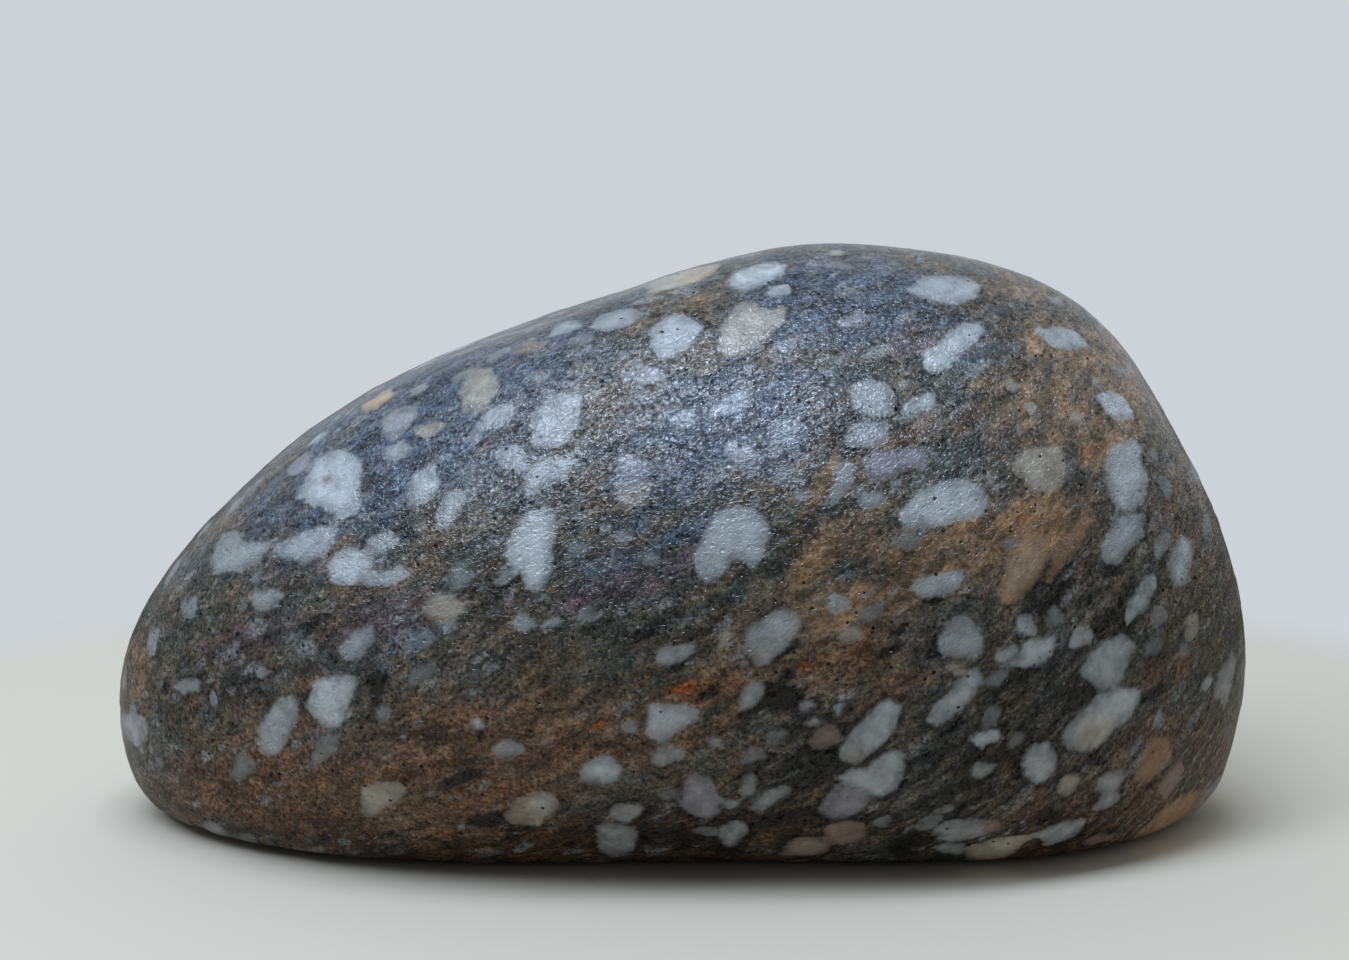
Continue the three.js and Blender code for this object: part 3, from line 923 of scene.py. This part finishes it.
def oiledConglomerate():
    # Metamorphosed quartz-pebble conglomerate, tumbled by a river and rubbed with oil: milky pebbles in a
    # dark, mica-rich ground whose fine pitted grain breaks the gloss into sparks.
    material = bpy.data.materials.new("oiled_quartz_conglomerate")
    tree = emptyTree(material)
    add = functools.partial(addNode, tree)
    objectPlace = add("TexCoord", {}, "Object")
    places = add("VectorMath", {0: objectPlace, 3: 1 / millimetre}, operation="SCALE")
    foldSize, foldReach = ground["shaking"]
    folds = add("TexNoise", {
        "Vector": places, "Scale": 1 / foldSize, "Detail": 3, "Roughness": 0.65,
    }, "Color")
    layers = add("VectorMath", {
        0: folds,
        1: (foldReach, foldReach, foldReach),
        2: add("Attribute", {}, "Vector", attribute_name="bedding"),
    }, operation="MULTIPLY_ADD")
    spaces = {"places": places}
    for name, squeeze in ground["spaces"].items():
        spaces[name] = add("VectorMath", {0: layers, 1: squeeze}, operation="MULTIPLY")
    clouds = {
        name: add("TexNoise", {
            "Vector": spaces[space], "Scale": 1 / size, "Detail": detail, "Roughness": rough,
        })
        for name, (space, size, detail, rough) in ground["patterns"].items()
    }
    levels = {
        name: add("MapRange", {
            "Value": clouds[name], "From Min": low, "From Max": high, "To Min": least, "To Max": most,
        })
        for name, (low, high, least, most) in ground["levels"].items()
    }
    marks = {
        name: add("Attribute", {}, "Fac", attribute_name=name) for name in ("pebbleDepth", *stains)
    }

    colour = add("Mix", {
        0: levels["streaks"], 6: linearColour(ground["olive"]), 7: linearColour(ground["brown"]),
    }, 2, data_type="RGBA")
    for name, (tone, softness, breaking) in ground["stains"].items():
        strength = add("Math", {0: clouds[name], 1: breaking, 2: marks[name]}, operation="MULTIPLY_ADD")
        middle = 0.5 + 0.5 * breaking
        share = add("MapRange", {
            "Value": strength, "From Min": middle - softness, "From Max": middle + softness,
        }, interpolation_type="SMOOTHSTEP")
        colour = add("Mix", {0: share, 6: colour, 7: linearColour(tone)}, 2, data_type="RGBA")
    for name in ("shade", "patches"):
        colour = add("VectorMath", {0: colour, 3: levels[name]}, operation="SCALE")

    # small pale fragments of quartz, soft at the edge, more of them in some beds than in others
    plenty = levels["gathering"]
    for name, fewer in ground["fewerFragments"].items():
        left = add("Math", {0: marks[name], 1: -fewer, 2: 1.0}, operation="MULTIPLY_ADD")
        plenty = add("Math", {0: plenty, 1: left}, operation="MULTIPLY")
    for spacing, empty, largest, strength in ground["fragments"]:
        cell = add("TexVoronoi", {"Vector": spaces["drawnOut"], "Scale": 1 / spacing})
        kind = add("SeparateColor", {0: cell.node.outputs["Color"]})
        reach = add("MapRange", {"Value": kind, "From Min": empty, "To Max": largest})
        reach = add("Math", {0: reach, 1: plenty}, operation="MULTIPLY")
        inside = add("Math", {0: reach, 1: cell}, operation="SUBTRACT")
        share = add("MapRange", {
            "Value": inside, "From Min": -0.1, "From Max": 0.14, "To Max": strength,
        }, interpolation_type="SMOOTHSTEP")
        tone = add("ValToRGB", {0: kind.node.outputs[1]}, stops=ground["fragmentTones"])
        colour = add("Mix", {0: share, 6: colour, 7: tone}, 2, data_type="RGBA")

    # the grain of the ground breaks the pebbles' edges
    depth = add("Math", {0: marks["pebbleDepth"], 1: levels["edge"]}, operation="ADD")

    # black mica, in wisps and lenses, more of it against the pebbles, and scattered flakes; the same black
    # lays painted shade along the foot and over the lower right
    hugging = add("MapRange", {
        "Value": depth, "From Min": -1.8, "From Max": -0.2, "To Max": 0.2,
    }, interpolation_type="SMOOTHSTEP")
    gathered = add("Math", {0: levels["wisps"], 1: hugging}, operation="ADD")
    gathered = add("Math", {0: gathered, 1: marks["biotiteAndShade"]}, operation="ADD")
    micaAndShade = add("MapRange", {
        "Value": gathered, "From Min": 0.36, "From Max": 0.86, "To Max": 0.87,
    }, interpolation_type="SMOOTHSTEP")
    cell = add("TexVoronoi", {"Vector": places, "Scale": 1 / ground["flakeSpacing"]})
    kind = add("SeparateColor", {0: cell.node.outputs["Color"]})
    reach = add("MapRange", {"Value": kind, "From Min": 0.35, "To Max": 0.26})
    inside = add("Math", {0: reach, 1: cell}, operation="SUBTRACT")
    flake = add("MapRange", {"Value": inside, "From Min": -0.03, "From Max": 0.03, "To Max": 0.9})
    hollow = add("MapRange", {"Value": inside, "From Min": -0.1, "From Max": 0.1, "To Max": -0.5})
    black = add("Math", {0: micaAndShade, 1: flake}, operation="MAXIMUM")
    colour = add("Mix", {0: black, 6: colour, 7: linearColour(ground["biotiteAndShade"])}, 2, data_type="RGBA")
    evenness = add("Math", {0: marks["tan"], 1: ground["tanEvenness"]}, operation="MULTIPLY")
    shade = add("Mix", {0: evenness, 2: levels["grain"], 3: ground["evenShade"]})
    colour = add("VectorMath", {0: colour, 3: shade}, operation="SCALE")

    # pebbles: milky in the middle, a little see-through where they thin out
    tone = add("Attribute", {}, "Color", attribute_name="pebbleTone")
    thickness = add("MapRange", {"Value": depth, "From Max": 3.0, "To Min": 0.9, "To Max": 1.12})
    quartz = tone
    for factor in (levels["milk"], thickness, levels["fine"]):
        quartz = add("VectorMath", {0: quartz, 3: factor}, operation="SCALE")
    share = add("MapRange", {
        "Value": depth, "From Min": -0.4, "From Max": 0.5,
    }, interpolation_type="SMOOTHSTEP")
    solid = add("Math", {0: clouds["milk"], 1: 2.6, 2: depth}, operation="MULTIPLY_ADD")
    body = add("MapRange", {"Value": solid, "From Min": 0.9, "From Max": 2.8, "To Min": 0.55})
    pebble = add("Math", {0: share, 1: body}, operation="MULTIPLY")
    pebble = add("Math", {0: pebble, 1: tone.node.outputs["Alpha"]}, operation="MULTIPLY")
    colour = add("Mix", {0: pebble, 6: colour, 7: quartz}, 2, data_type="RGBA")

    # a few of the flakes lie on the pebbles too
    odd = add("Math", {0: kind.node.outputs[1], 1: ground["flakesOnPebbles"]}, operation="LESS_THAN")
    odd = add("Math", {0: odd, 1: flake}, operation="MULTIPLY")
    colour = add("Mix", {0: odd, 6: colour, 7: linearColour(ground["biotiteAndShade"])}, 2, data_type="RGBA")

    # grain and ripples, lower on the hard pebbles, and the hollows that lost flakes leave
    calm = add("MapRange", {"Value": share, "To Min": 1.0, "To Max": 0.75})
    relief = add("Math", {
        0: clouds["ripple"], 1: ground["rippleShare"], 2: clouds["relief"],
    }, operation="MULTIPLY_ADD")
    relief = add("Math", {0: relief, 1: calm, 2: hollow}, operation="MULTIPLY_ADD")
    bump = add("Bump", {"Distance": ground["reliefHeight"] * millimetre, "Height": relief})
    skin = add("BsdfPrincipled", {
        "Base Color": colour, "Roughness": ground["roughness"], "IOR": 1.56, "Normal": bump,
    })

    # the pits between the grains hold no polish, and their colour is darkened by pitShade as painted shade
    # in the hollows
    lowest, highest, openness = ground["pits"]
    openness = add("MapRange", {"Value": share, "To Min": openness, "To Max": 0.1})
    turning = add("MapRange", {
        "Value": add("LayerWeight", {"Blend": 0.5}, "Facing"), "From Min": 0.45, "From Max": 0.85,
        "To Min": 1.0, "To Max": ground["rimPits"],
    })
    openness = add("Math", {0: openness, 1: turning}, operation="MULTIPLY")
    pit = add("MapRange", {
        "Value": clouds["relief"], "From Min": lowest, "From Max": highest,
        "To Min": openness, "To Max": 0.0,
    })
    dull = add("BsdfDiffuse", {
        "Color": add("VectorMath", {0: colour, 3: ground["pitShade"]}, operation="SCALE"),
    })
    add("OutputMaterial", {"Surface": add("MixShader", {0: pit, 1: skin, 2: dull})})
    print("stone material made:", len(tree.nodes), "nodes")
    return material


makeCamera()
makeStudio()
makeStone()
